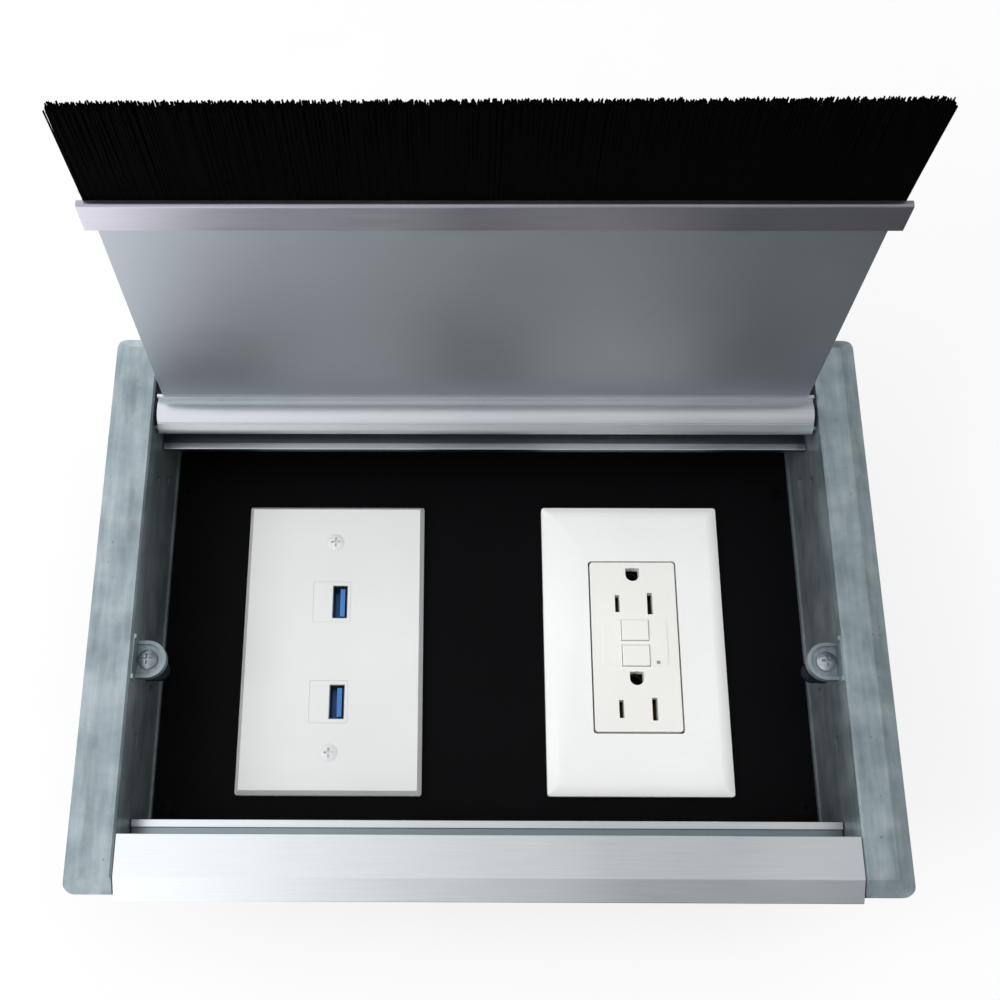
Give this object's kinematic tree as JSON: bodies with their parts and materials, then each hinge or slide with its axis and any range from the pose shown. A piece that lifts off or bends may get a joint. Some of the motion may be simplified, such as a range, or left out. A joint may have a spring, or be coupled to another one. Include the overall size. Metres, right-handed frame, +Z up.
{
  "type": "desk socket box",
  "caption": "Flip-lid desk socket box: framed well with brush-edged hinged lid, clamp screws, data plate with USB couplers, mains receptacle plate and a steel tub below.",
  "frame": {"origin": "middle of the tub's underside", "axes": "+X right along the lid's hinge line, +Y towards the hinge, +Z up out of the desk"},
  "size_m": [0.2832, 0.2108, 0.2509],
  "materials": {
    "zinc_casting": "as-cast zinc, mottled blue-grey",
    "rail_aluminium": "satin anodised",
    "barrel_aluminium": "bright satin anodised",
    "lid_aluminium": "dull fine-brushed",
    "channel_aluminium": "satin anodised",
    "black_steel": "satin black powder coat",
    "black_screw": "black oxide",
    "zinc_plated_steel": "bright zinc plate",
    "green_steel": "green passivated",
    "black_nylon": "moulded nylon",
    "data_plate_plastic": "off-white moulded, satin gloss",
    "data_insert_plastic": "off-white moulded",
    "painted_screw": "painted to match the plate",
    "port_shell_steel": "stamped and nickel plated",
    "blue_plastic": "moulded blue",
    "gold_contact": "gold flash",
    "power_plate_plastic": "white moulded, soft gloss",
    "receptacle_plastic": "white moulded nylon",
    "receptacle_body_plastic": "grey moulded",
    "contact_brass": "plain",
    "lens_plastic": "clear lens, unlit",
    "black_bristle": "nylon bristle"
  },
  "bodies": {
    "frame": {"side_casting_left": "zinc_casting", "side_casting_right": "zinc_casting", "front_rail": "rail_aluminium", "rear_rail": "rail_aluminium", "rail_screws": "zinc_plated_steel", "hinge_pins": "zinc_plated_steel", "tub": "black_steel", "tub_end_left": "black_steel", "tub_end_right": "black_steel", "tub_screws": "zinc_plated_steel", "divider": "black_steel", "entry_bushing": "black_nylon", "ground_screw": "green_steel", "mounting_panel": "black_steel", "panel_screws": "black_screw", "usb_wall_plate": "data_plate_plastic", "usb_plate_screws": "painted_screw", "usb_insert_front": "data_insert_plastic", "usb_insert_rear": "data_insert_plastic", "usb_port_shells": "port_shell_steel", "usb_tongues": "blue_plastic", "usb_contacts": "gold_contact", "cover_plate": "power_plate_plastic", "cover_subplate": "power_plate_plastic", "subplate_screws": "zinc_plated_steel", "receptacle_face": "receptacle_plastic", "receptacle_yoke": "zinc_plated_steel", "yoke_screws": "zinc_plated_steel", "receptacle_body": "receptacle_body_plastic", "line_contacts": "contact_brass", "neutral_contacts": "contact_brass", "ground_contacts": "contact_brass", "line_terminal_screws": "contact_brass", "neutral_terminal_screws": "zinc_plated_steel", "ground_terminal_screw": "green_steel", "indicator_lens": "lens_plastic"},
    "lid": {"hinge_barrel": "barrel_aluminium", "hinge_bushes": "black_nylon", "lid_plate": "lid_aluminium", "lid_screws": "zinc_plated_steel", "brush_channel": "channel_aluminium", "channel_screws": "zinc_plated_steel", "brush_spine": "zinc_plated_steel", "brush_bristles": "black_bristle"},
    "clamp_turn_left": {"clamp_screw_left": "zinc_plated_steel", "clamp_clip_left": "zinc_plated_steel"},
    "clamp_turn_right": {"clamp_screw_right": "zinc_plated_steel", "clamp_clip_right": "zinc_plated_steel"},
    "strap_left": {"clamp_strap_left": "zinc_plated_steel"},
    "strap_right": {"clamp_strap_right": "zinc_plated_steel"},
    "test": {"test_button": "receptacle_plastic"},
    "reset": {"reset_button": "receptacle_plastic"}
  },
  "joints": [
    {"name": "lid_hinge", "type": "hinge", "parent": "frame", "child": "lid", "pos_m": [0, 0.0721, 0.097], "axis": [1, 0, 0], "range_deg": [0, 97.8]},
    {"name": "clamp_strap_lift_left", "type": "slide", "parent": "frame", "child": "strap_left", "axis": [0, 0, 1], "range_m": [0, 0.008]},
    {"name": "clamp_strap_lift_right", "type": "slide", "parent": "frame", "child": "strap_right", "axis": [0, 0, 1], "range_m": [0, 0.008]},
    {"name": "clamp_screw_turn_left", "type": "hinge", "parent": "frame", "child": "clamp_turn_left", "pos_m": [-0.121, -0.0229, 0.093], "axis": [0, 0, -1], "range_deg": [0, 3628]},
    {"name": "clamp_screw_turn_right", "type": "hinge", "parent": "frame", "child": "clamp_turn_right", "pos_m": [0.121, -0.0229, 0.093], "axis": [0, 0, -1], "range_deg": [0, 3628]},
    {"name": "test_press", "type": "slide", "parent": "frame", "child": "test", "axis": [0, 0, -1], "range_m": [0, 0.001], "stiffness_N_per_m": 900, "springref_m": -0.0008},
    {"name": "reset_press", "type": "slide", "parent": "frame", "child": "reset", "axis": [0, 0, -1], "range_m": [0, 0.001], "stiffness_N_per_m": 900, "springref_m": -0.0008}
  ],
  "couplings": [
    {"joint": "clamp_screw_turn_left", "follows": "clamp_strap_lift_left", "rad_per_m": 7913.3},
    {"joint": "clamp_screw_turn_right", "follows": "clamp_strap_lift_right", "rad_per_m": 7913.3}
  ]
}
